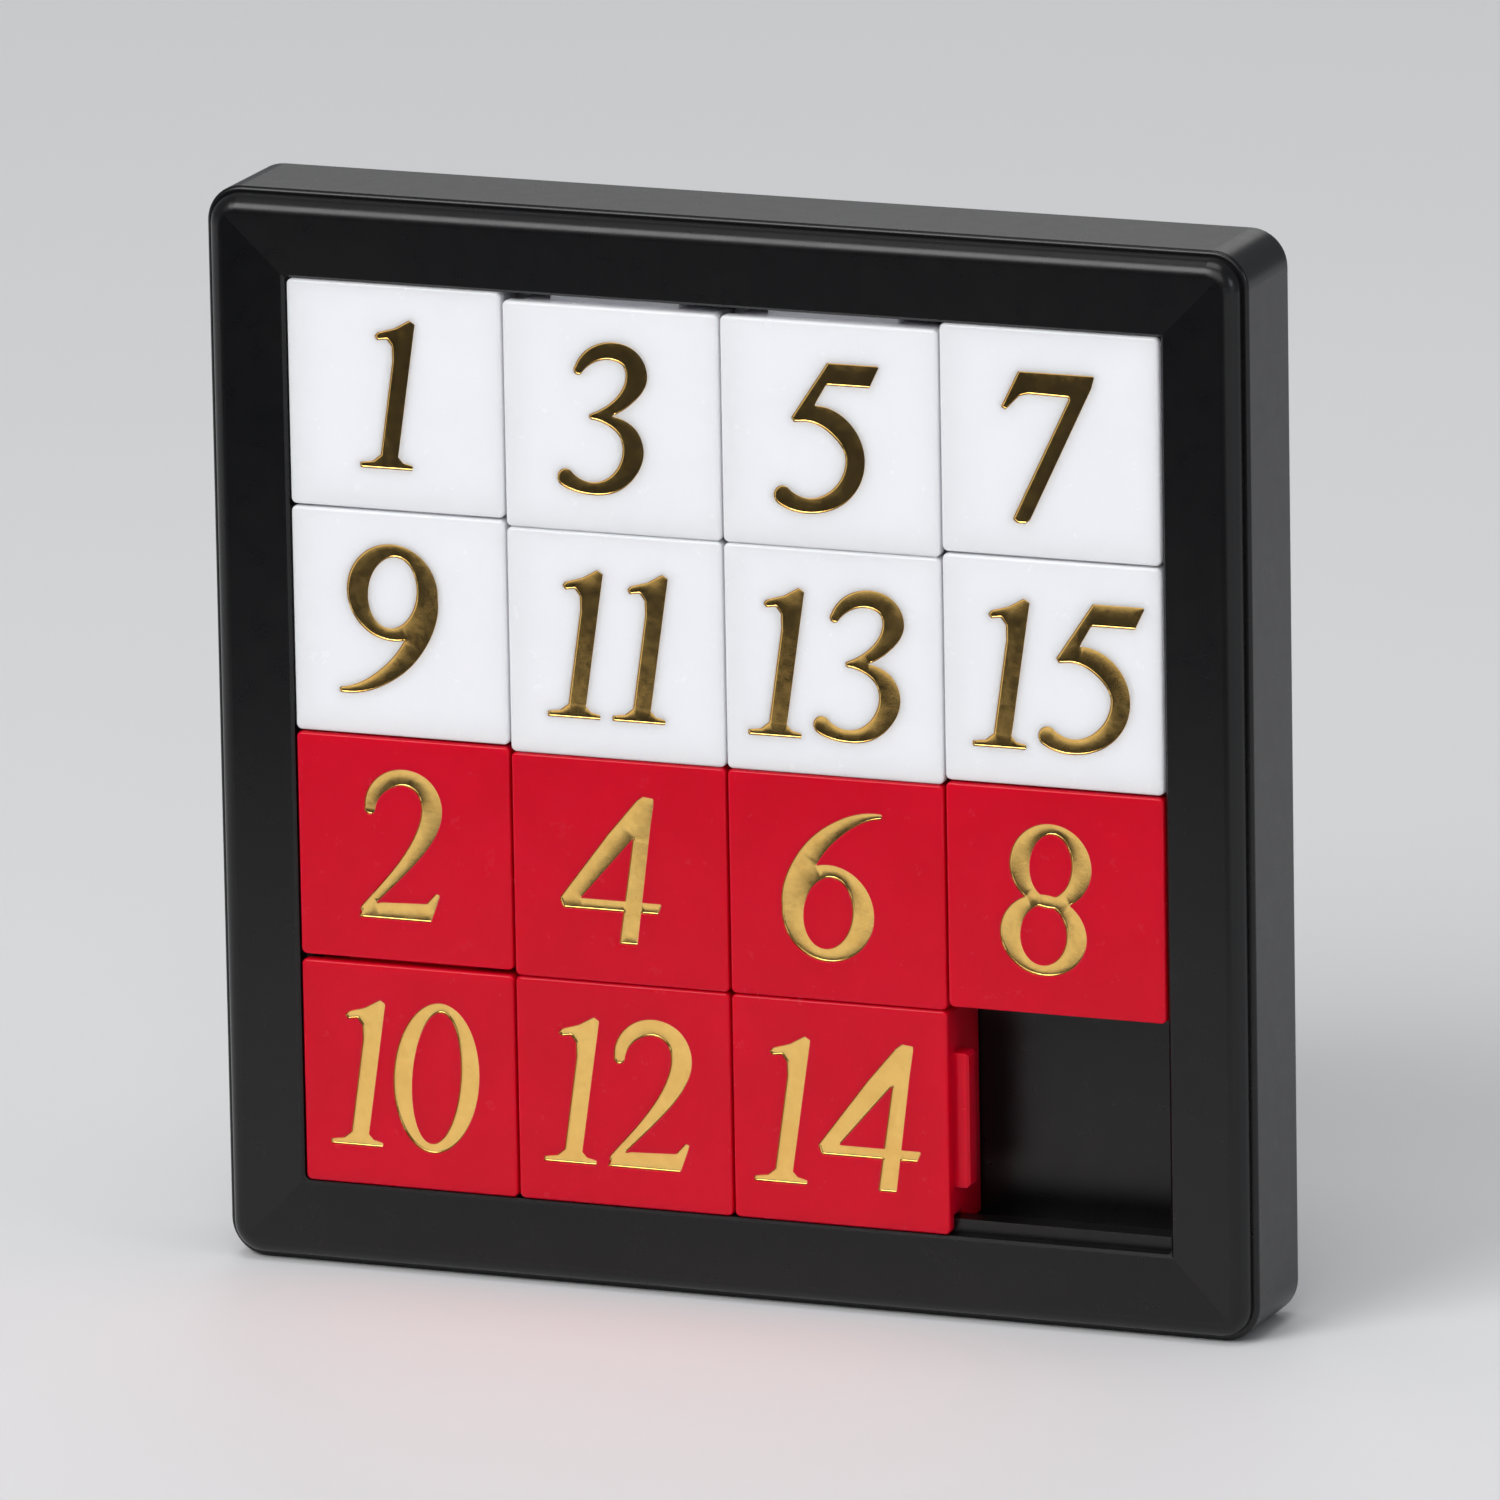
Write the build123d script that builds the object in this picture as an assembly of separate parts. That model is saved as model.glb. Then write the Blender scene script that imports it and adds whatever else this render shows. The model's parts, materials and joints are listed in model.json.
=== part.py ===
from build123d import *
import os
from math import hypot

# A 4 x 4 sliding number puzzle: fifteen interlocking tiles and one blank cell in a two-part frame.
#
# Everything is modelled lying on its back, face up: X to the right, Y towards the top row, Z out of the
# face, with Z = 0 at the back. place() then stands it up on its bottom edge, with the face towards -Y.
# All lengths are in millimetres.

# --- driving dimensions ---------------------------------------------------------------------------
pitch = 16.0                # from one cell to the next
cells = 4                   # cells along each side
outer = 76.2                # rear shell, square, 3 inches
thickness = 9.8             # crest of the front frame to the rim of the back
play = 0.16                 # air between neighbouring tiles, and between a tile and the field's wall
slide_gap = 0.15            # air in front of and behind a tongue, and behind a tile

# --- frame ----------------------------------------------------------------------------------------
front_depth = 1.3           # front frame, from its crest to the parting face
front_inset = 0.45          # front frame is this much smaller than the shell on each side
front_rim_radius = 1.2      # soft outer edge of the front frame
front_slope = 0.35          # the front face falls this much from its crest to the opening
opening_chamfer = 0.2
shell_corner_radius = 2.6
shell_shoulder_radius = 0.3
shell_back_radius = 0.8
floor_thick = 1.8           # panel behind the tiles
back_border = 5.0           # raised rim round the back panel
back_corner_radius = 2.0
witness_radius = 2.5        # round ejector marks on the back panel
witness_depth = 0.2
witness_offset = 22.0
gate_radius = 1.5           # the moulding's gate, in the middle of the back panel
gate_height = 0.3
pin_radius = 1.0            # pins on the front frame that press into the shell
pin_length = 2.3
pin_clearance = 0.05
pin_from_edge = 2.7

# --- tiles ----------------------------------------------------------------------------------------
tile_side = pitch - play
tile_thick = 6.2
tile_corner_radius = 0.4
tile_face_radius = 0.22     # soft edge round the face
tile_back_chamfer = 0.2
face_recess = 0.05          # tile faces lie this far below the frame's opening edge
tongue_length = 0.6 * tile_side
tongue_reach = 1.1
tongue_thick = 1.6
tongue_chamfer = 0.2
groove_depth = 1.25         # in the tile's left and bottom sides
rail_reach = 1.0            # ledges on the shell's left and bottom walls
rebate_reach = 1.3          # room under the front frame for the tongues, at the top and right

# --- stamped numerals -----------------------------------------------------------------------------
numeral_height = 10.6
numeral_spacing = 0.044         # gap in a two-figure number, in numeral heights
numeral_slant = 0.03            # how far the figures lean to the right, on top of their own shapes
recess_depth = 0.3
foil_thick = 0.12
corner_soften = 0.012           # rounding of a straight-edged stroke's corners, in numeral heights

# --- levels, from the back ------------------------------------------------------------------------
parting_z = thickness - front_depth
opening_z = thickness - front_slope
face_z = opening_z - face_recess
tile_back_z = face_z - tile_thick
floor_z = tile_back_z - slide_gap
panel_z = floor_z - floor_thick
tongue_top_z = parting_z - slide_gap
tongue_bottom_z = tongue_top_z - tongue_thick
groove_bottom_z = tongue_bottom_z - slide_gap
groove_height = parting_z - groove_bottom_z

field = cells * pitch + play
front_outer = outer - 2 * front_inset
front_corner_radius = shell_corner_radius - front_inset

# --- where each tile rests ------------------------------------------------------------------------
rows = [
    [1, 3, 5, 7],
    [9, 11, 13, 15],
    [2, 4, 6, 8],
    [10, 12, 14, None],
]
stamps = {                  # number's middle from its tile's middle: each stamp landed a little differently
    1: (-0.56, 0.25), 3: (-0.68, 0.03), 5: (-0.26, -0.14), 7: (-0.10, -0.33),
    9: (-0.86, 0.20), 11: (-0.60, 0.05), 13: (-0.55, -0.15), 15: (0.39, -0.13),
    2: (-0.33, 0.30), 4: (-0.73, 0.19), 6: (-0.35, 0.30), 8: (-0.74, 0.15),
    10: (-0.40, 0.10), 12: (-0.50, 0.15), 14: (-0.30, 0.05),
}
contact_gap = 0.06          # left between two tiles that rest on one another
high_columns = (0, 3)       # the tiles of these are held up, evenly spaced; the others have dropped


# === numerals =====================================================================================
def slanted(x, y):
    """A point of a figure, leant to the right about the figure's middle height."""
    return x + numeral_slant * (y - 0.5), y


def brush(*nodes):
    """A curved stroke through nodes (x, y, half width), with round ends."""
    nodes = [(*slanted(x, y), half) for x, y, half in nodes]
    left, right, tips = [], [], []
    last = len(nodes) - 1
    for i, (x, y, half) in enumerate(nodes):
        before, after = nodes[max(i - 1, 0)], nodes[min(i + 1, last)]
        dx, dy = after[0] - before[0], after[1] - before[1]
        size = hypot(dx, dy)
        along = (dx / size, dy / size)
        left.append((x - along[1] * half, y + along[0] * half))
        right.append((x + along[1] * half, y - along[0] * half))
        if i in (0, last):
            way = -1 if i == 0 else 1
            tips.append((x + way * along[0] * half, y + way * along[1] * half))
    edges = [
        Spline(*left),
        ThreePointArc(left[-1], tips[1], right[-1]),
        Spline(*right),
        ThreePointArc(right[0], tips[0], left[0]),
    ]
    return make_face(edges)


def plate(*corners):
    """A straight-edged stroke with softened corners."""
    shape = make_face(Polyline(*[slanted(x, y) for x, y in corners], close=True))
    return fillet(shape.vertices(), corner_soften)


def ring(x, y, half_wide, half_high, side, top, lean=0.0):
    """An oval loop, heavier at its sides than at its top and foot."""
    loop = Ellipse(half_wide, half_high) - Ellipse(half_wide - side, half_high - top)
    return Pos(x, y) * Rot(0, 0, -lean) * loop


# The figures, in numeral heights above the base line.
def figure_0():
    return ring(0, 0.5, 0.303, 0.512, 0.135, 0.067, lean=6)


def figure_1():
    stem = plate(
        (-0.055, 0.02), (0.073, 0.02), (0.190, 0.975), (0.150, 1.000), (0.045, 0.940), (-0.075, 0.905),
        (-0.098, 0.878), (-0.075, 0.852), (-0.010, 0.862), (0.026, 0.815), (0.030, 0.720),
    )
    foot = plate(
        (-0.190, 0.0), (0.180, 0.0), (0.185, 0.034), (0.115, 0.050), (0.072, 0.095),
        (-0.044, 0.095), (-0.100, 0.050), (-0.190, 0.038),
    )
    return stem + foot


def figure_2():
    arch = brush(
        (-0.213, 0.737, 0.040), (-0.180, 0.850, 0.050), (-0.090, 0.932, 0.056), (0.040, 0.958, 0.057),
        (0.165, 0.900, 0.066), (0.222, 0.770, 0.074), (0.190, 0.610, 0.068), (0.085, 0.435, 0.052),
        (-0.070, 0.250, 0.038), (-0.245, 0.060, 0.030),
    )
    base = plate(
        (-0.290, 0.0), (0.225, 0.0), (0.290, 0.190), (0.255, 0.200), (0.190, 0.125), (-0.130, 0.112),
        (-0.250, 0.080),
    )
    return arch + base


def figure_3():
    upper = brush(
        (-0.173, 0.818, 0.034), (-0.075, 0.922, 0.050), (0.072, 0.955, 0.062), (0.193, 0.903, 0.072),
        (0.233, 0.790, 0.077), (0.170, 0.662, 0.056), (0.050, 0.562, 0.038), (-0.076, 0.515, 0.020),
    )
    lower = brush(
        (-0.072, 0.512, 0.018), (0.066, 0.490, 0.040), (0.170, 0.426, 0.064), (0.216, 0.310, 0.076),
        (0.168, 0.160, 0.066), (0.055, 0.062, 0.052), (-0.065, 0.038, 0.044), (-0.180, 0.060, 0.052),
        (-0.247, 0.098, 0.064),
    )
    return upper + lower


def figure_4():
    diagonal = plate(
        (0.085, 0.965), (0.130, 1.000), (0.215, 0.990), (0.160, 0.800), (0.050, 0.690), (-0.290, 0.290),
        (-0.290, 0.215), (-0.415, 0.215), (-0.440, 0.280), (-0.110, 0.728),
    )
    stem = plate((0.090, 0.900), (0.215, 0.990), (0.188, 0.780), (0.110, 0.0), (-0.020, 0.0))
    bar = plate((-0.438, 0.290), (-0.415, 0.215), (0.250, 0.215), (0.280, 0.290))
    return diagonal + stem + bar


def figure_5():
    flag = plate(
        (0.000, 0.996), (0.362, 0.996), (0.293, 0.846), (-0.005, 0.846), (-0.068, 0.735),
        (-0.120, 0.600), (-0.225, 0.590), (-0.245, 0.618),
    )
    bowl = brush(
        (-0.195, 0.627, 0.034), (-0.050, 0.645, 0.066), (0.105, 0.560, 0.077), (0.195, 0.415, 0.070),
        (0.185, 0.255, 0.068), (0.078, 0.110, 0.060), (-0.085, 0.045, 0.052), (-0.220, 0.062, 0.060),
        (-0.290, 0.100, 0.068),
    )
    return flag + bowl


def figure_6():
    return Pos(0, 1) * Rot(0, 0, 180) * figure_9()


def figure_7():
    return plate(
        (-0.200, 1.000), (0.324, 1.000), (0.305, 0.920), (-0.098, 0.030), (-0.130, 0.0), (-0.190, 0.0),
        (-0.222, 0.025), (0.152, 0.845), (-0.130, 0.852), (-0.190, 0.835), (-0.280, 0.740),
        (-0.315, 0.755),
    )


def figure_8():
    upper = ring(0.035, 0.725, 0.283, 0.282, 0.140, 0.073, lean=6)
    lower = ring(-0.020, 0.264, 0.300, 0.272, 0.143, 0.073, lean=6)
    return upper + lower


def figure_9():
    loop = ring(0.028, 0.692, 0.322, 0.325, 0.155, 0.086, lean=10)
    tail = brush(
        (0.262, 0.790, 0.044), (0.270, 0.600, 0.077), (0.205, 0.400, 0.077), (0.093, 0.235, 0.066),
        (-0.052, 0.115, 0.050), (-0.195, 0.045, 0.034), (-0.326, 0.022, 0.020),
    )
    return loop + tail


figures = [
    figure_0, figure_1, figure_2, figure_3, figure_4,
    figure_5, figure_6, figure_7, figure_8, figure_9,
]


def figure_outlines(number):
    """Each figure of a number at full size, with the middle of the number at the origin."""
    outlines = []
    pen = 0.0
    for letter in str(number):
        figure = figures[int(letter)]()
        box = figure.bounding_box()
        outlines.append(Sketch() + Pos(pen - box.min.X, 0) * figure)
        pen += box.size.X + numeral_spacing
    width = pen - numeral_spacing
    middle = Pos(-width * numeral_height / 2, -numeral_height / 2)
    return [middle * scale(outline, by=numeral_height) for outline in outlines]


def figure_names(number):
    """The names of a number's figures, from the left."""
    name = f"numeral_{number:02d}"
    if number < 10:
        return [name]
    return [f"{name}_tens", f"{name}_units"]


# === pieces, lying face up ========================================================================
def block(x, y, z, wide, high, deep):
    """A box from its low corner."""
    return Pos(x, y, z) * Box(wide, high, deep, align=(Align.MIN, Align.MIN, Align.MIN))


def rounded_slab(side, corner, low, high):
    """A square slab with rounded corners, from one level to another."""
    return Pos(0, 0, low) * extrude(RectangleRounded(side, side, corner), high - low)


def edges_at(shape, level):
    """The edges that lie flat at one level."""
    return shape.edges().filter_by_position(Axis.Z, level - 0.01, level + 0.01)


def pin_places():
    """Where the front frame is pinned to the shell: the corners and the middle of each side."""
    reach = outer / 2 - pin_from_edge
    steps = (-reach, 0.0, reach)
    return [(x, y) for x in steps for y in steps if (x, y) != (0.0, 0.0)]


def front_frame():
    """The front frame: a soft-edged square ring whose face falls gently to the opening."""
    ring_body = rounded_slab(front_outer, front_corner_radius, parting_z, thickness)
    ring_body = fillet(edges_at(ring_body, thickness), front_rim_radius)
    lip_side = field + 2 * opening_chamfer
    ring_body -= flare(lip_side, opening_z, front_outer - 2 * front_rim_radius, thickness)
    ring_body -= flare(field, opening_z - opening_chamfer, lip_side, opening_z)
    ring_body -= rounded_slab(field, tile_corner_radius, parting_z, thickness)
    for x, y in pin_places():
        ring_body += Pos(x, y, parting_z - pin_length / 2) * Cylinder(pin_radius, pin_length)
    return ring_body


def flare(low_side, low_z, high_side, high_z):
    """A square cut that widens from one level to another, which leaves mitred corners."""
    low = Pos(0, 0, low_z) * Rectangle(low_side, low_side)
    high = Pos(0, 0, high_z) * Rectangle(high_side, high_side)
    return loft([low, high], ruled=True)


def rear_shell():
    """The tray behind the tiles, with ledges at the left and bottom and rebates at the top and right."""
    shell = rounded_slab(outer, shell_corner_radius, 0, parting_z)
    shell = fillet(edges_at(shell, 0), shell_back_radius)
    shell = fillet(edges_at(shell, parting_z), shell_shoulder_radius)
    shell -= rounded_slab(field, tile_corner_radius, floor_z, parting_z)
    shell -= rounded_slab(outer - 2 * back_border, back_corner_radius, 0, panel_z)

    edge = field / 2
    shell -= block(-edge, edge - 1, groove_bottom_z, field, rebate_reach + 1, groove_height)
    shell -= block(edge - 1, -edge, groove_bottom_z, rebate_reach + 1, field, groove_height)
    shell += block(-edge - 0.5, -edge - 0.5, tongue_bottom_z, field + 0.5, rail_reach + 0.5, tongue_thick)
    shell += block(-edge - 0.5, -edge - 0.5, tongue_bottom_z, rail_reach + 0.5, field + 0.5, tongue_thick)

    socket_depth = pin_length + slide_gap
    for x, y in pin_places():
        socket = Cylinder(pin_radius + pin_clearance, socket_depth)
        shell -= Pos(x, y, parting_z - socket_depth / 2) * socket
    for x in (-witness_offset, witness_offset):
        for y in (-witness_offset, witness_offset):
            shell -= Pos(x, y, panel_z + witness_depth / 2) * Cylinder(witness_radius, witness_depth)
    shell += Pos(0, 0, panel_z - gate_height / 2) * Cylinder(gate_radius, gate_height)
    return shell


def tile_blank():
    """One tile with no numeral: tongues on its top and right sides, grooves on its left and bottom."""
    half = tile_side / 2
    body = rounded_slab(tile_side, tile_corner_radius, tile_back_z, face_z)
    body = fillet(edges_at(body, face_z), tile_face_radius)
    body = chamfer(edges_at(body, tile_back_z), tile_back_chamfer)
    body -= block(-half, -half, groove_bottom_z, groove_depth, tile_side, groove_height)
    body -= block(-half, -half, groove_bottom_z, tile_side, groove_depth, groove_height)
    tongue = tongue_blank()
    body += Pos(0, half, tongue_bottom_z) * tongue
    body += Pos(half, 0, tongue_bottom_z) * Rot(0, 0, -90) * tongue
    return body


def tongue_blank():
    """A tongue that stands out along +Y, rooted a little inside its tile."""
    root = 0.5
    tongue = block(-tongue_length / 2, -root, 0, tongue_length, root + tongue_reach, tongue_thick)
    return chamfer(tongue.faces().sort_by(Axis.Y)[-1].edges(), tongue_chamfer)


def settled_offset(row, column):
    """How far a tile rests above its cell's middle, from the play of the tiles in its column."""
    slack = play - contact_gap
    if row == cells - 1:
        return -slack
    if column in high_columns:
        return slack
    return -slack * (cells - row)


def tile_place(row, column):
    """A tile's middle on the face."""
    middle = (cells - 1) / 2
    x = (column - middle) * pitch
    y = (middle - row) * pitch + settled_offset(row, column)
    return Pos(x, y, 0)


def place(shape):
    """Stands a piece up: bottom edge on Z = 0, face towards -Y, middle of the thickness at Y = 0."""
    return Pos(0, thickness / 2, outer / 2) * Plane.XZ.location * shape


# === write the pieces =============================================================================
def write(shape, name):
    standing = place(shape)
    standing.label = name
    export_step(standing, f"parts/{name}.step")


def write_tile(blank, number, where):
    """A tile with its figures' recesses, and the foil in each of them."""
    tile = blank
    for name, outline in zip(figure_names(number), figure_outlines(number)):
        outline = Pos(*stamps[number], face_z - recess_depth) * outline
        tile -= extrude(outline, recess_depth + 1)
        write(where * extrude(outline, foil_thick), name)
    write(where * tile, f"tile_{number:02d}")


def main():
    os.makedirs("parts", exist_ok=True)
    write(front_frame(), "front_frame")
    write(rear_shell(), "rear_shell")
    blank = tile_blank()
    for row, numbers in enumerate(rows):
        for column, number in enumerate(numbers):
            if number is not None:
                write_tile(blank, number, tile_place(row, column))


main()
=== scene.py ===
import json
import math

import bmesh
import bpy
import numpy as np
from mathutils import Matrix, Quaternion, Vector
from mathutils.geometry import delaunay_2d_cdt


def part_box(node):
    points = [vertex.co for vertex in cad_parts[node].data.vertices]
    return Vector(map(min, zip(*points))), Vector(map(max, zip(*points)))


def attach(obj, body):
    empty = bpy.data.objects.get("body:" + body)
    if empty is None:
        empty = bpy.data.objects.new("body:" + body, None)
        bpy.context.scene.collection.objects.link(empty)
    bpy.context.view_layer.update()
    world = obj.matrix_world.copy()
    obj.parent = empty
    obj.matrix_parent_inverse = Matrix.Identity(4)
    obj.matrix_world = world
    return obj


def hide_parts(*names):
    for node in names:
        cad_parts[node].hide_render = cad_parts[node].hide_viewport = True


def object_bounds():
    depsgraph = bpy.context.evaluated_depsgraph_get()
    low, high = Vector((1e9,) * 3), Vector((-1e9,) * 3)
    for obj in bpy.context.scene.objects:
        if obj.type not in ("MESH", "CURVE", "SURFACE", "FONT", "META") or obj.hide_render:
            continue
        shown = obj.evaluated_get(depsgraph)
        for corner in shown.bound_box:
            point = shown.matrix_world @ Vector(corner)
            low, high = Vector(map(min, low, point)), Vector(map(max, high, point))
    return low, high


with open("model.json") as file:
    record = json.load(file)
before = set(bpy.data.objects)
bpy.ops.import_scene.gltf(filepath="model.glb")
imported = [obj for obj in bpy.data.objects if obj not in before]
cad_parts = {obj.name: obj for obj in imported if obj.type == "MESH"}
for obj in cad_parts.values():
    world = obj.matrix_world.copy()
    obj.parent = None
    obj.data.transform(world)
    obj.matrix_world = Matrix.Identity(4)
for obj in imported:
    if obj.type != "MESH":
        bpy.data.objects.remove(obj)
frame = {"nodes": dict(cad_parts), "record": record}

# The sliding tile puzzle's looks. Lengths are in metres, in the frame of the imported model: the face looks
# towards -Y and the puzzle stands on Z = 0.
cad_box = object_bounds()

MM = 0.001
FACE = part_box("tile_01")[0].y           # plane of the tile faces
FOIL_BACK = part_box("numeral_01")[1].y   # floor of the figures' recesses

# --- the foil in each figure ----------------------------------------------------------------------
FOIL_AIR = 0.008 * MM       # between the foil's side and the recess wall
FOIL_LIP = 0.12 * MM        # the foil starts this far below the tile face
FOIL_DEPTH = 0.25 * MM      # and is this deep in the middle of a stroke
FOIL_CURVE = 0.12 * MM      # width of the rounded foot of the wall
FOIL_RINGS = 6              # rows of points across that foot
FOIL_CREASE = 50            # degrees; edges that turn more stay sharp
OUTLINE_STEP = 0.11 * MM
SHORTEST_STEP = 0.3 * OUTLINE_STEP
WELD = 0.001 * MM           # points nearer than this are one
RING_SLACK = 0.97           # points of a ring nearer to the outline than this share of its inset go
LEAST_MITRE = 0.5           # keeps the corner of a sharp turn from shooting out

# --- colours --------------------------------------------------------------------------------------
BLACK = (0.0026, 0.0026, 0.0031)
BLACK_FADED = (0.0042, 0.0040, 0.0042)
BLACK_RUBBED = (0.016, 0.0155, 0.0155)
BLACK_DUST = (0.09, 0.09, 0.085)
WHITE = (0.865, 0.87, 0.905)
WHITE_TIRED = (0.85, 0.855, 0.892)
# painted light: a cool bluish painted shade on the white tiles' edges
WHITE_EDGE_PAINTED_SHADE = (0.83, 0.855, 0.93)
RED = (0.62, 0.0008, 0.018)
RED_TIRED = (0.58, 0.0008, 0.015)
# painted light: a brighter red painted highlight on the red tiles' edges
RED_EDGE_PAINTED_HIGHLIGHT = (0.70, 0.010, 0.034)
TILE_DUST = (0.20, 0.19, 0.18)
GOLD = (0.95, 0.61, 0.18)
GOLD_DULL = (0.88, 0.54, 0.15)
GOLD_PIT = (0.34, 0.20, 0.07)
GOLD_STRETCHED = (0.30, 0.22, 0.09)
FLOOR_PALE = (0.80, 0.80, 0.81)
FLOOR_GREY = (0.77, 0.77, 0.78)
# painted dark reflection: colour of the card that only glossy rays see
CARD_REFLECTED_DARK = (0.046, 0.054, 0.080)

# --- stage ----------------------------------------------------------------------------------------
FLOOR_REACH = 6             # from the middle to each side
# the card below is a painted dark reflection, a sheet only glossy rays see
CARD_AWAY = 0.130           # in front of the puzzle
CARD_LEFT = 0.16            # past the puzzle's left side
CARD_RIGHT = 0.04           # past its right side
CARD_HEIGHT = 1.35          # of the puzzle's height
LAMP_AIM = Vector((0, 0, 0.04))     # near the puzzle's middle
WORLD_COLOUR = (0.80, 0.82, 0.86, 1.0)
WORLD_STRENGTH = 0.27
SOFT_BOXES = (              # name, place, side, watts, colour
    ("key_softbox", (-0.51, -1.10, 0.95), 0.75, 12.0, (1.0, 0.995, 0.985)),
    ("front_softbox", (0.25, -1.25, 0.90), 0.9, 4.5, (1.0, 1.0, 1.0)),
    ("top_softbox", (0.0, -0.2, 1.7), 1.0, 8.5, (1.0, 1.0, 1.0)),
    ("right_softbox", (1.5, -0.4, 0.5), 0.5, 3.0, (0.85, 0.93, 1.0)),
    ("back_softbox", (-0.4, 1.5, 0.9), 0.8, 2.0, (1.0, 0.99, 0.98)),
)

# --- camera ---------------------------------------------------------------------------------------
VIEW_AZIMUTH = 21.8         # degrees to the right of straight on
VIEW_ELEVATION = 13.8
VIEW_ROLL = -1.0
VIEW_DISTANCE = 1.3
FRAME_FILL = 0.74           # the puzzle's height as a share of the picture's
SENSOR = 36.0
NEAREST_SEEN = 0.05
FARTHEST_SEEN = 50.0


# === shader helpers ===============================================================================
class Look:
    """A material made of one Principled shader and the nodes that feed it."""

    MIX_A, MIX_B, MIX_RESULT = 6, 7, 2      # the Mix node's colour sockets

    def __init__(self, name, **values):
        self.material = bpy.data.materials.new(name)
        self.material.use_nodes = True
        self.tree = self.material.node_tree
        self.shader = self.tree.nodes["Principled BSDF"]
        for socket, value in values.items():
            self.shader.inputs[socket.replace("_", " ")].default_value = value
        self.place = self.add("ShaderNodeTexCoord").outputs["Object"]

    def add(self, kind, **settings):
        node = self.tree.nodes.new(kind)
        for key, value in settings.items():
            setattr(node, key, value)
        return node

    def join(self, output, target):
        self.tree.links.new(output, target)

    def noise(self, size, detail=2.0, roughness=0.5, distortion=0.0):
        """Cloudy values about 0.5, with features of that size in metres."""
        node = self.add("ShaderNodeTexNoise")
        node.inputs["Scale"].default_value = 1.0 / size
        node.inputs["Detail"].default_value = detail
        node.inputs["Roughness"].default_value = roughness
        node.inputs["Distortion"].default_value = distortion
        self.join(self.place, node.inputs["Vector"])
        return node.outputs["Fac"]

    def specks(self, spacing, radius, share):
        """1 inside small round specks, one in some of the cells of a jittered grid, and 0 elsewhere."""
        cells = self.add("ShaderNodeTexVoronoi")
        cells.inputs["Scale"].default_value = 1.0 / spacing
        self.join(self.place, cells.inputs["Vector"])
        near = self.spread(cells.outputs["Distance"], radius / spacing, 0.4 * radius / spacing)
        split = self.add("ShaderNodeSeparateColor")
        self.join(cells.outputs["Color"], split.inputs["Color"])
        chosen = self.spread(split.outputs["Red"], 1.0 - share, 1.0 - 0.8 * share)
        return self.math("MULTIPLY", near, chosen)

    def edges_for_wear_and_painted_light(self, radius, flat=0.999, turned=0.93):
        """0 on open surface, and 1 where rounding the edges by that radius turns the normal enough."""
        round_edge = self.add("ShaderNodeBevel", samples=4)
        round_edge.inputs["Radius"].default_value = radius
        true_normal = self.add("ShaderNodeNewGeometry")
        likeness = self.add("ShaderNodeVectorMath", operation="DOT_PRODUCT")
        self.join(round_edge.outputs["Normal"], likeness.inputs[0])
        self.join(true_normal.outputs["Normal"], likeness.inputs[1])
        return self.spread(likeness.outputs["Value"], flat, turned)

    def spread(self, value, low, high, to_low=0.0, to_high=1.0):
        """The value stretched from one range to another, and held at its ends."""
        node = self.add("ShaderNodeMapRange")
        node.inputs["From Min"].default_value = low
        node.inputs["From Max"].default_value = high
        node.inputs["To Min"].default_value = to_low
        node.inputs["To Max"].default_value = to_high
        self.join(value, node.inputs["Value"])
        return node.outputs["Result"]

    def math(self, operation, a, b):
        node = self.add("ShaderNodeMath", operation=operation, use_clamp=True)
        for socket, value in zip(node.inputs, (a, b)):
            if isinstance(value, (int, float)):
                socket.default_value = value
            else:
                self.join(value, socket)
        return node.outputs["Value"]

    def blend(self, share, a, b):
        """Colour a where share is 0 and colour b where it is 1."""
        node = self.add("ShaderNodeMix", data_type="RGBA")
        self.join(share, node.inputs["Factor"])
        for socket, value in ((node.inputs[self.MIX_A], a), (node.inputs[self.MIX_B], b)):
            if isinstance(value, tuple):
                socket.default_value = (*value, 1.0)
            else:
                self.join(value, socket)
        return node.outputs[self.MIX_RESULT]

    def stain(self, colour, where, strength, other):
        """The colour, with another over it at that strength where the mask is 1."""
        return self.blend(self.math("MULTIPLY", where, strength), colour, other)

    def relief(self, *layers):
        """Bump from (height, depth in metres) layers, each on top of the last."""
        normal = None
        for height, depth in layers:
            bump = self.add("ShaderNodeBump")
            bump.inputs["Strength"].default_value = 1.0
            bump.inputs["Distance"].default_value = depth
            self.join(height, bump.inputs["Height"])
            if normal is not None:
                self.join(normal, bump.inputs["Normal"])
            normal = bump.outputs["Normal"]
        self.join(normal, self.shader.inputs["Normal"])

    def finish(self, colour, roughness):
        self.join(colour, self.shader.inputs["Base Color"])
        self.join(roughness, self.shader.inputs["Roughness"])
        return self.material


# === materials ====================================================================================
def black_plastic():
    """Satin black moulding: fine spark-eroded grain, rubbed edges, a little dust."""
    look = Look("satin_black_moulding", IOR=1.47, Specular_IOR_Level=0.42)
    cloud = look.spread(look.noise(14 * MM, detail=4.0, roughness=0.6), 0.35, 0.65)
    patches = look.spread(look.noise(1.1 * MM, detail=4.0), 0.4, 0.6)
    edge = look.math("MULTIPLY", look.edges_for_wear_and_painted_light(0.3 * MM), patches)
    dust = look.specks(spacing=1.6 * MM, radius=0.045 * MM, share=0.22)
    colour = look.blend(cloud, BLACK, BLACK_FADED)
    colour = look.stain(colour, edge, 0.4, BLACK_RUBBED)
    colour = look.stain(colour, dust, 0.5, BLACK_DUST)
    roughness = look.spread(look.noise(1.4 * MM, detail=3.0), 0.3, 0.7, 0.27, 0.31)
    roughness = look.math("SUBTRACT", roughness, look.math("MULTIPLY", edge, 0.06))
    grain = look.noise(0.16 * MM, detail=3.0, roughness=0.6)
    waves = look.noise(9 * MM)
    look.relief((grain, 0.003 * MM), (waves, 0.02 * MM))
    return look.finish(colour, roughness)


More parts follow.
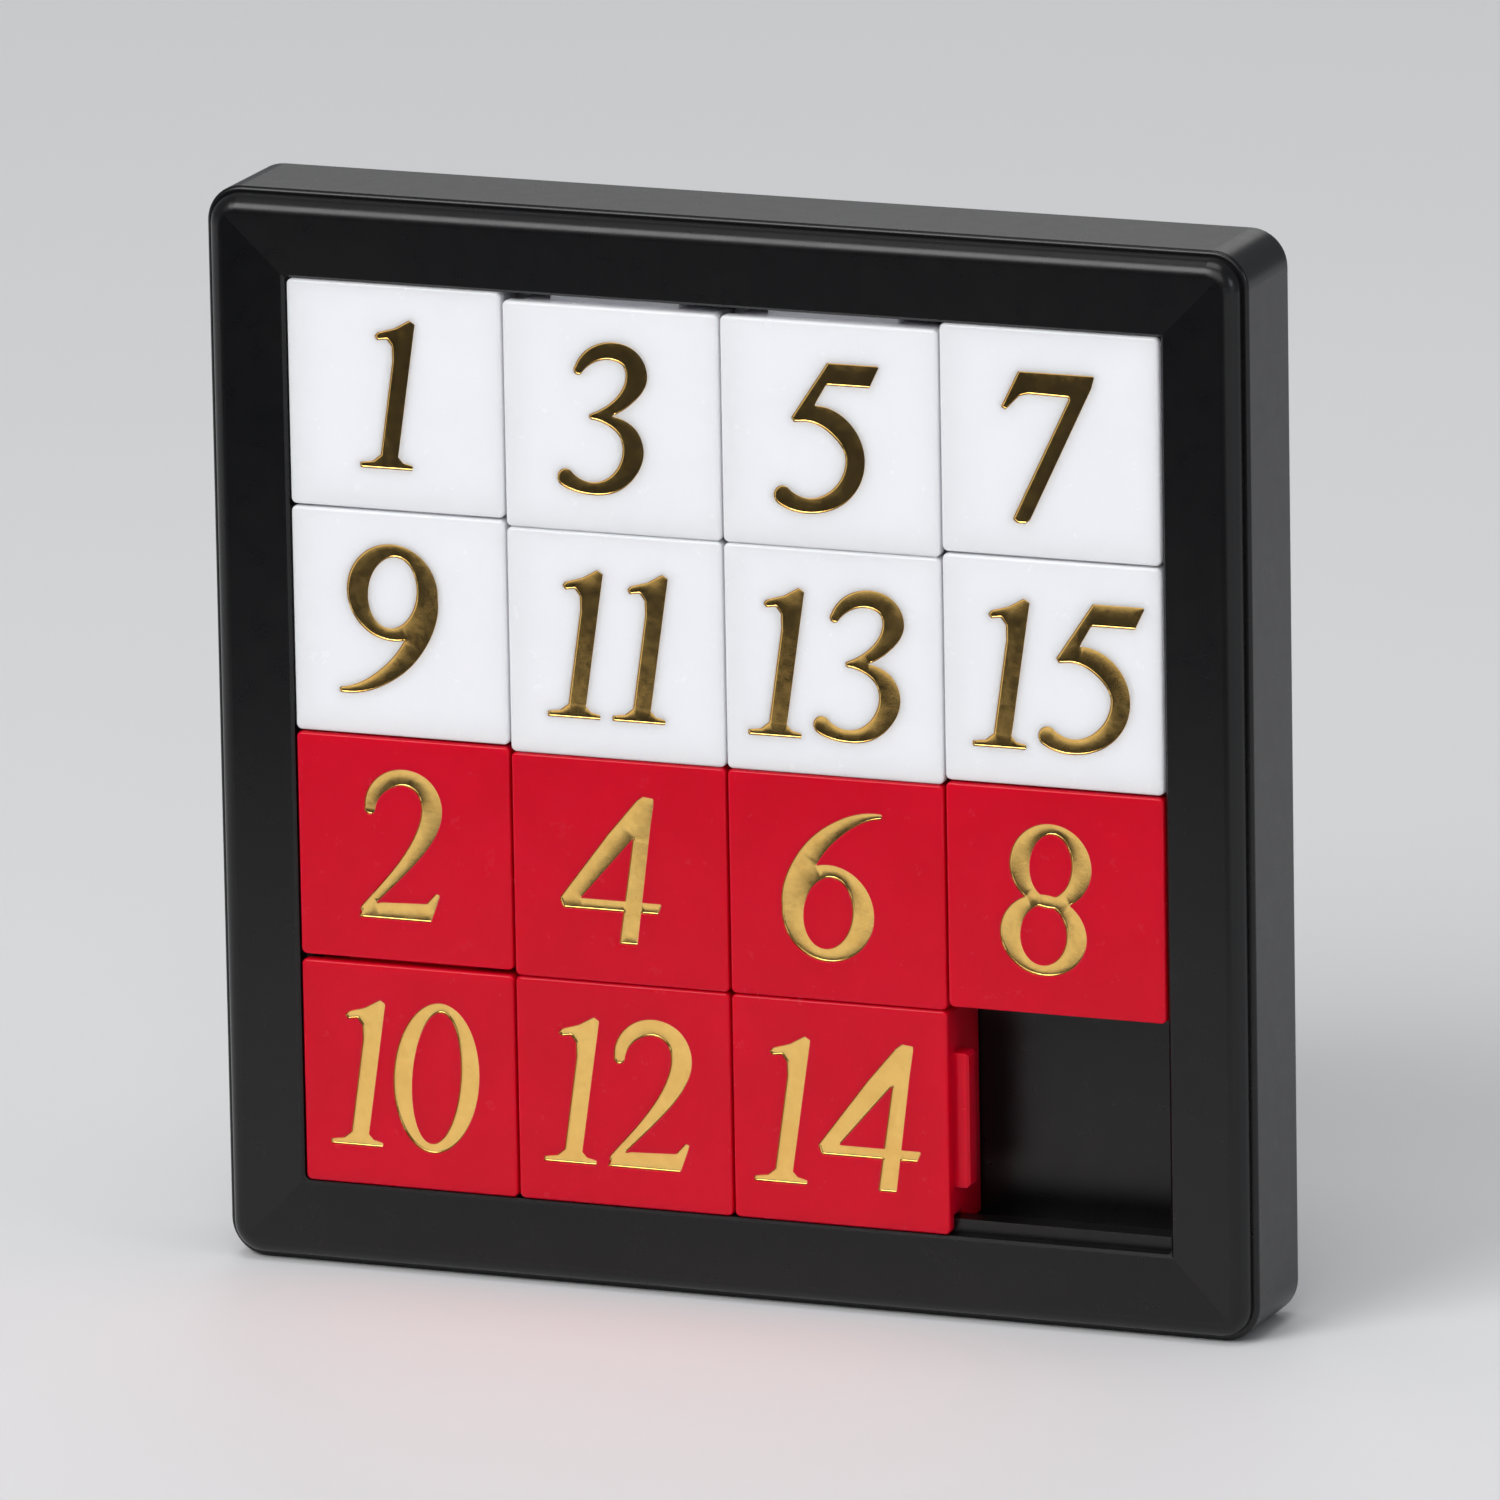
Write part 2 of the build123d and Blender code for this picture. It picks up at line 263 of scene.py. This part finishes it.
def tile_plastic(name, clean, tired, painted_edge_light, gloss, glow):
    """Glossy moulding of a tile: faint flow clouds, orange peel, soft light inside it, and painted light on
    its edges.
    """
    look = Look(
        name, IOR=1.49, Specular_IOR_Level=gloss,
        Subsurface_Weight=1.0, Subsurface_Scale=1.5 * MM, Subsurface_Radius=glow)
    cloud = look.spread(look.noise(7 * MM, detail=4.0, roughness=0.55, distortion=0.6), 0.35, 0.65)
    edge = look.edges_for_wear_and_painted_light(0.25 * MM)
    dust = look.specks(spacing=2.6 * MM, radius=0.035 * MM, share=0.12)
    colour = look.blend(cloud, clean, tired)
    # painted light on the edges: a bluish painted shade on the white tiles, a brighter painted highlight on
    # the red ones
    colour = look.stain(colour, edge, 0.5, painted_edge_light)
    colour = look.stain(colour, dust, 0.3, TILE_DUST)
    roughness = look.spread(look.noise(1.3 * MM, detail=5.0, roughness=0.65), 0.3, 0.7, 0.21, 0.28)
    orange_peel = look.noise(1.2 * MM)
    grain = look.noise(0.13 * MM)
    look.relief((orange_peel, 0.002 * MM), (grain, 0.0005 * MM))
    return look.finish(colour, roughness)


def gold_foil():
    """Hot-stamped foil: bright gold, faintly wrinkled, browned where it was stretched."""
    look = Look("stamped_gold_foil", Metallic=1.0)
    cloud = look.spread(look.noise(1.6 * MM, detail=4.0, roughness=0.6, distortion=0.8), 0.35, 0.65)
    pits = look.specks(spacing=0.5 * MM, radius=0.04 * MM, share=0.15)
    colour = look.blend(cloud, GOLD, GOLD_DULL)
    colour = look.stain(colour, pits, 0.4, GOLD_PIT)
    colour = look.stain(colour, look.edges_for_wear_and_painted_light(0.1 * MM), 0.75, GOLD_STRETCHED)
    roughness = look.spread(look.noise(0.5 * MM, detail=4.0, roughness=0.6), 0.3, 0.7, 0.13, 0.22)
    wrinkles = look.noise(0.6 * MM, detail=3.0, distortion=0.5)
    grain = look.noise(0.08 * MM)
    look.relief((wrinkles, 0.003 * MM), (grain, 0.0006 * MM))
    return look.finish(colour, roughness)


def make_finishes():
    """One material for each of the record's slots."""
    return {
        "black_plastic": black_plastic(),
        "white_plastic": tile_plastic(
            "white_tile", WHITE, WHITE_TIRED, WHITE_EDGE_PAINTED_SHADE, gloss=0.5, glow=(1.0, 0.95, 0.95)),
        "red_plastic": tile_plastic(
            "red_tile", RED, RED_TIRED, RED_EDGE_PAINTED_HIGHLIGHT, gloss=0.2, glow=(1.0, 0.25, 0.2)),
        "gold_foil": gold_foil(),
    }


def paint_nodes(finishes):
    """Gives every CAD node its finish, by the record's slots."""
    for part in frame["record"]["subparts"]:
        frame["nodes"][part["node"]].material_slots[0].material = finishes[part["material_slot"]]


# === figures ======================================================================================
def outline_loops(node):
    """The outline of a figure's front as closed loops of (x, z), with the foil on the left of each."""
    shape = bmesh.new()
    shape.from_mesh(node.data)
    bmesh.ops.remove_doubles(shape, verts=shape.verts, dist=WELD)
    front = min(v.co.y for v in shape.verts)
    cap = [f for f in shape.faces if all(abs(v.co.y - front) < WELD for v in f.verts)]
    in_cap = set(cap)
    following = {}
    for face in cap:
        for corner in face.loops:
            if sum(f in in_cap for f in corner.edge.link_faces) == 1:
                following[corner.vert] = corner.link_loop_next.vert
    loops = []
    while following:
        start, vertex = following.popitem()
        loop = [start]
        while vertex is not start:
            loop.append(vertex)
            vertex = following.pop(vertex)
        loops.append(np.array([(v.co.x, v.co.z) for v in loop]))
    shape.free()
    return loops


def even_loop(loop):
    """The same closed loop, with no step much longer or shorter than OUTLINE_STEP."""
    kept = [loop[0]]
    for point in loop[1:]:
        if np.hypot(*(point - kept[-1])) > SHORTEST_STEP:
            kept.append(point)
    if np.hypot(*(kept[0] - kept[-1])) < SHORTEST_STEP:
        kept.pop()
    points = []
    for a, b in zip(kept, kept[1:] + kept[:1]):
        parts = max(1, round(np.hypot(*(b - a)) / OUTLINE_STEP))
        points.extend(a + (b - a) * k / parts for k in range(parts))
    return np.array(points)


def inset(loop, distance):
    """The loop moved to its left, mitred at its corners."""
    ahead = np.roll(loop, -1, axis=0) - loop
    ahead /= np.hypot(ahead[:, 0], ahead[:, 1])[:, None]
    left = np.stack([-ahead[:, 1], ahead[:, 0]], 1)
    middle = left + np.roll(left, 1, axis=0)
    middle /= np.hypot(middle[:, 0], middle[:, 1])[:, None]
    mitre = np.clip((middle * left).sum(1), LEAST_MITRE, 1.0)
    return loop + middle * (distance / mitre)[:, None]


def distance_to(points, loops):
    """How far each point is from the nearest edge of the loops."""
    best = np.full(len(points), np.inf)
    for loop in loops:
        along = np.roll(loop, -1, axis=0) - loop
        size = (along ** 2).sum(1)
        offset = points[:, None] - loop[None]
        share = np.clip((offset * along).sum(2) / size, 0.0, 1.0)
        gap = offset - share[..., None] * along
        best = np.minimum(best, np.sqrt((gap ** 2).sum(2)).min(1))
    return best


def inside(points, loops):
    """True for each point that lies within the outline, and not in one of its holes."""
    odd = np.zeros(len(points), bool)
    x, z = points[:, :1], points[:, 1:]
    for a in loops:
        b = np.roll(a, -1, axis=0)
        spans = (a[:, 1] > z) != (b[:, 1] > z)
        rise = np.where(b[:, 1] == a[:, 1], 1.0, b[:, 1] - a[:, 1])
        crossing = a[:, 0] + (z - a[:, 1]) * (b[:, 0] - a[:, 0]) / rise
        odd ^= (spans & (x < crossing)).sum(1) % 2 == 1
    return odd


def outline_edges(loops):
    """The pairs of indices that join the points of all loops, numbered one loop after another."""
    edges, first = [], 0
    for loop in loops:
        size = len(loop)
        edges.extend((first + i, first + (i + 1) % size) for i in range(size))
        first += size
    return edges


def triangles(points, outline):
    """Triples of indices into points, the triangles that fill the outline."""
    whole_hull, merge_distance = 0, 1e-6
    scaled = [Vector(p) for p in points / MM]
    _, _, faces, origins, _, _ = delaunay_2d_cdt(scaled, outline, [], whole_hull, merge_distance)
    owner = {}
    for face in faces:
        a, b, c = (origins[i][0] for i in face)
        owner.update({side: (a, b, c) for side in ((a, b), (b, c), (c, a))})
    # The foil is to the left of the outline, and spreads from there to all that the outline doesn't cut off.
    kept, waiting, walls = {}, [owner[side] for side in outline], set(outline)
    while waiting:
        a, b, c = face = waiting.pop()
        if face not in kept:
            kept[face] = True
            waiting.extend(owner[side[::-1]] for side in ((a, b), (b, c), (c, a)) if side not in walls)
    return list(kept)


def foil(node, name):
    """The foil of one figure: a solid that fills the recess's foot and is dished along every stroke."""
    loops = [inset(even_loop(loop), FOIL_AIR) for loop in outline_loops(node)]
    rings = []
    for k in range(1, FOIL_RINGS + 1):
        reach = FOIL_CURVE * (1 - math.cos(math.pi / 2 * k / FOIL_RINGS))
        for loop in loops:
            ring = inset(loop, reach)
            rings.append(ring[(distance_to(ring, loops) > RING_SLACK * reach) & inside(ring, loops)])
    rim = np.concatenate(loops)
    points = np.concatenate([rim, *rings])
    outline = outline_edges(loops)
    away = distance_to(points, loops)
    away[:len(rim)] = 0.0
    rise = np.clip(1 - away / FOIL_CURVE, 0.0, 1.0)
    depth = FOIL_LIP + (FOIL_DEPTH - FOIL_LIP) * np.sqrt(1 - rise ** 2)

    shape = bmesh.new()
    front = [shape.verts.new((x, FACE + d, z)) for (x, z), d in zip(points, depth)]
    back = [shape.verts.new((x, FOIL_BACK, z)) for x, z in rim]
    for face in triangles(points, outline):
        shape.faces.new([front[i] for i in face])
    for face in triangles(rim, outline):
        shape.faces.new([back[i] for i in reversed(face)])
    for a, b in outline:
        shape.faces.new((front[b], front[a], back[a], back[b]))
    bmesh.ops.recalc_face_normals(shape, faces=shape.faces)
    mesh = bpy.data.meshes.new(name)
    shape.to_mesh(mesh)
    shape.free()
    mesh.polygons.foreach_set("use_smooth", [True] * len(mesh.polygons))
    mesh.set_sharp_from_angle(angle=math.radians(FOIL_CREASE))
    return mesh


def line_figures(finish):
    """Puts a dished foil in place of every figure's plain plate."""
    for body, members in frame["record"]["behaviour"]["bodies"].items():
        for node in members:
            if not node.startswith("numeral"):
                continue
            name = node.replace("numeral", "foil")
            piece = bpy.data.objects.new(name, foil(frame["nodes"][node], name))
            bpy.context.scene.collection.objects.link(piece)
            piece.data.materials.append(finish)
            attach(piece, body)
            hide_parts(node)


# === stage ========================================================================================
def sheet(name, *corners):
    """A flat piece of the studio from its four corners."""
    mesh = bpy.data.meshes.new(name)
    mesh.from_pydata(corners, [], [(0, 1, 2, 3)])
    piece = bpy.data.objects.new(name, mesh)
    bpy.context.scene.collection.objects.link(piece)
    return piece


def floor():
    """A pale matte floor, a little cloudy."""
    far = FLOOR_REACH
    piece = sheet("floor", (-far, -far, 0), (far, -far, 0), (far, far, 0), (-far, far, 0))
    look = Look("pale_floor")
    cloud = look.spread(look.noise(0.25, detail=3.0), 0.3, 0.7)
    colour = look.blend(cloud, FLOOR_PALE, FLOOR_GREY)
    piece.data.materials.append(look.finish(colour, look.spread(cloud, 0.0, 1.0, 0.55, 0.65)))


def dark_reflection_card():
    """A dark card in front of the puzzle, hidden from the camera, from diffuse light and from shadows: a
    painted dark reflection that only gloss and foil see. It darkens the black front and the foil of the
    upper rows, and leaves the lower rows the bright floor."""
    low, high = cad_box
    left, right, front = low.x - CARD_LEFT, high.x + CARD_RIGHT, low.y - CARD_AWAY
    top = CARD_HEIGHT * high.z
    piece = sheet("dark_reflection_card", (left, front, 0), (right, front, 0), (right, front, top), (left, front, top))
    look = Look("dark_reflection_card", Base_Color=(*CARD_REFLECTED_DARK, 1.0), Roughness=1.0, Specular_IOR_Level=0.0)
    piece.data.materials.append(look.material)
    piece.visible_camera = False
    piece.visible_diffuse = False
    piece.visible_shadow = False
    piece.visible_transmission = False


def soft_light(name, place, side, power, colour):
    """A square soft box at place, turned to the puzzle."""
    lamp = bpy.data.lights.new(name, "AREA")
    lamp.size = side
    lamp.energy = power
    lamp.color = colour
    light = bpy.data.objects.new(name, lamp)
    light.location = place
    light.rotation_euler = (LAMP_AIM - Vector(place)).to_track_quat("-Z", "Y").to_euler()
    light.visible_camera = False
    bpy.context.scene.collection.objects.link(light)


def studio():
    """A dim plain world and the soft boxes round the puzzle."""
    world = bpy.data.worlds.new("studio")
    world.use_nodes = True
    background = world.node_tree.nodes["Background"]
    background.inputs["Color"].default_value = WORLD_COLOUR
    background.inputs["Strength"].default_value = WORLD_STRENGTH
    bpy.context.scene.world = world
    bpy.context.scene.view_settings.view_transform = "Standard"
    for soft_box in SOFT_BOXES:
        soft_light(*soft_box)


def camera():
    """Looks at the middle of the puzzle from the front, a little from the right and from above."""
    low, high = cad_box
    middle = (low + high) / 2
    turn, lift = math.radians(VIEW_AZIMUTH), math.radians(VIEW_ELEVATION)
    back = Vector((math.sin(turn) * math.cos(lift), -math.cos(turn) * math.cos(lift), math.sin(lift)))
    data = bpy.data.cameras.new("camera")
    data.sensor_width = SENSOR
    data.lens = SENSOR * VIEW_DISTANCE * FRAME_FILL / (high.z - low.z)
    data.clip_start = NEAREST_SEEN
    data.clip_end = FARTHEST_SEEN
    view = bpy.data.objects.new("camera", data)
    view.location = middle + back * VIEW_DISTANCE
    view.rotation_mode = "QUATERNION"
    roll = Quaternion((0, 0, 1), math.radians(VIEW_ROLL))
    view.rotation_quaternion = (-back).to_track_quat("-Z", "Y") @ roll
    bpy.context.scene.collection.objects.link(view)
    bpy.context.scene.camera = view


# === build ========================================================================================
finishes = make_finishes()
paint_nodes(finishes)
line_figures(finishes["gold_foil"])
floor()
dark_reflection_card()
studio()
camera()
